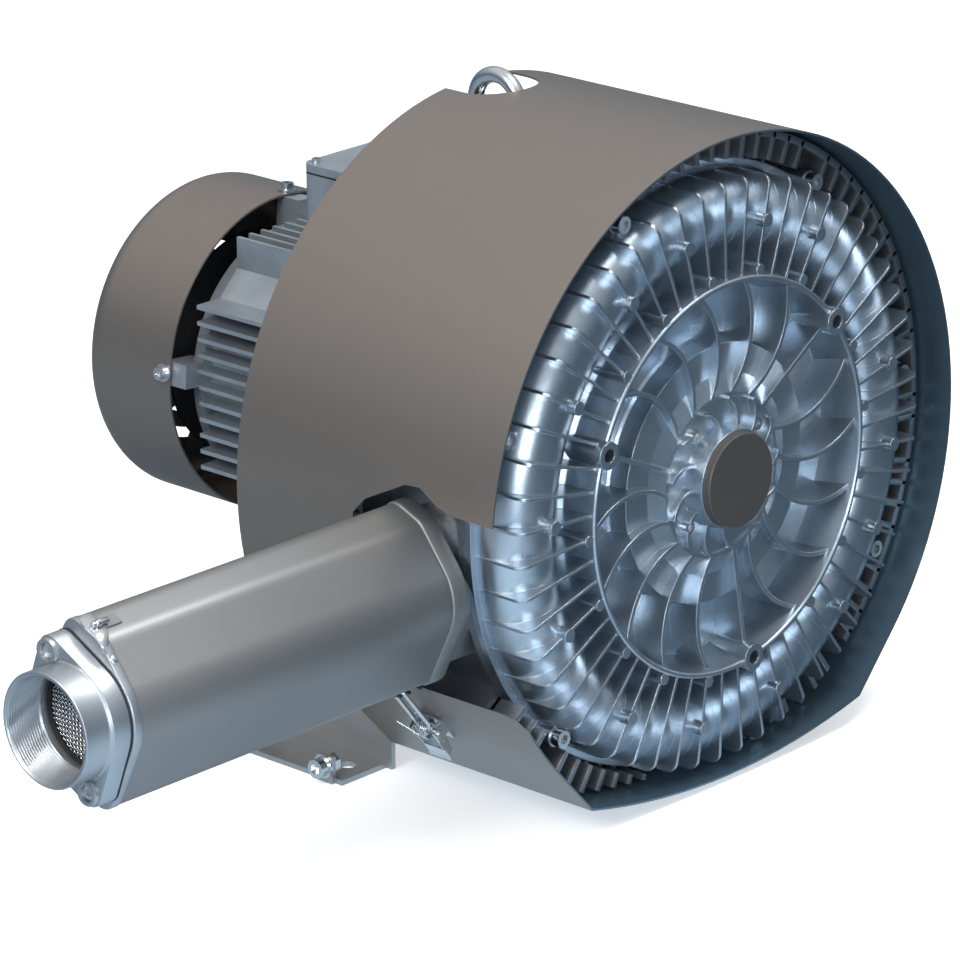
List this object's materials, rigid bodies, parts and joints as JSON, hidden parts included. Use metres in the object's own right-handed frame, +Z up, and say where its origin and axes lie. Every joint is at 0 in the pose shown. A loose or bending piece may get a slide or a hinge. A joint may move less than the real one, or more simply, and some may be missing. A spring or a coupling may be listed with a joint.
{
  "type": "side channel blower",
  "caption": "Two-stage side channel blower with a ribbed cast front cover, sheet metal jacket, flanged motor and hexagonal inlet silencer",
  "frame": {"origin": "on the floor, at the middle of the four foot bolt holes and straight under the shaft", "axes": "+X across the shaft from the inlet silencer towards the outlet, +Y along the shaft from the front cover to the fan cowl, +Z up"},
  "size_m": [0.862, 0.5485, 0.493],
  "materials": {
    "cast_aluminium": "bright cast, lightly blasted",
    "dark_casting": "satin grey-brown coat over a casting",
    "jacket_paint": "satin metallic taupe",
    "motor_paint": "satin taupe-grey",
    "silencer_metal": "satin extruded",
    "bright_steel": "zinc plated",
    "dark_steel": "blackened",
    "foot_steel": "dark satin coat with a bright cut edge",
    "impeller_aluminium": "as cast",
    "copper_winding": "varnished copper",
    "black_rubber": "matte",
    "cap_plastic": "matte grey-brown",
    "dark_plastic": "matte",
    "foam": "open foam"
  },
  "bodies": {
    "blower": {"front_cover": "cast_aluminium", "centre_cap": "cap_plastic", "hub_screws": "bright_steel", "cover_screws": "bright_steel", "middle_housing": "dark_casting", "rear_housing": "dark_casting", "lifting_eye": "bright_steel", "front_bearing_outer": "bright_steel", "rear_bearing_outer": "bright_steel", "front_seal": "black_rubber", "rear_seal": "black_rubber", "motor_flange": "motor_paint", "flange_screws": "dark_steel", "motor_frame": "motor_paint", "stator_core": "dark_steel", "stator_windings": "copper_winding", "rear_shield": "motor_paint", "fan_cowl": "jacket_paint", "cowl_screws": "bright_steel", "terminal_box": "motor_paint", "terminal_lid": "motor_paint", "lid_gasket": "black_rubber", "lid_screws": "bright_steel", "box_screws": "bright_steel", "terminal_block": "dark_plastic", "cable_gland": "dark_plastic", "blanking_plug": "dark_plastic", "jacket": "jacket_paint", "latch_base": "bright_steel", "latch_rivets": "bright_steel", "latch_pins": "bright_steel", "latch_keeper": "dark_steel", "silencer_collar": "silencer_metal", "silencer_tube": "silencer_metal", "silencer_foam": "foam", "inlet_gasket": "black_rubber", "inlet_flange": "cast_aluminium", "inlet_screen": "bright_steel", "silencer_screws": "bright_steel", "tube_clamp": "bright_steel", "clamp_screw": "bright_steel", "outlet_gasket": "black_rubber", "outlet_flange": "cast_aluminium", "outlet_screws": "bright_steel", "foot_left": "foot_steel", "foot_right": "foot_steel", "foot_screws": "dark_steel", "ear_screws": "bright_steel"},
    "rotor": {"shaft": "bright_steel", "front_impeller": "impeller_aluminium", "rear_impeller": "impeller_aluminium", "impeller_spacer": "bright_steel", "shaft_sleeve": "bright_steel", "shaft_nut": "bright_steel", "front_bearing_inner": "bright_steel", "rear_bearing_inner": "bright_steel", "rotor_core": "dark_steel", "cooling_fan": "dark_plastic"},
    "lever": {"latch_lever": "bright_steel"},
    "bail": {"latch_bail": "bright_steel"}
  },
  "joints": [
    {"name": "rotor_spin", "type": "hinge", "parent": "blower", "child": "rotor", "pos_m": [0, -0.266, 0.232], "axis": [0, 1, 0], "continuous": true},
    {"name": "latch_swing", "type": "hinge", "parent": "blower", "child": "lever", "pos_m": [-0.20239, -0.158, 0.07197], "axis": [0, 1, 0], "range_deg": [0, 100]},
    {"name": "bail_swing", "type": "hinge", "parent": "lever", "child": "bail", "pos_m": [-0.19548, -0.158, 0.0647], "axis": [0, 1, 0], "range_deg": [-125, 0]}
  ],
  "couplings": [
    {"joint": "bail_swing", "follows": "latch_swing", "ratio": -1.25}
  ]
}
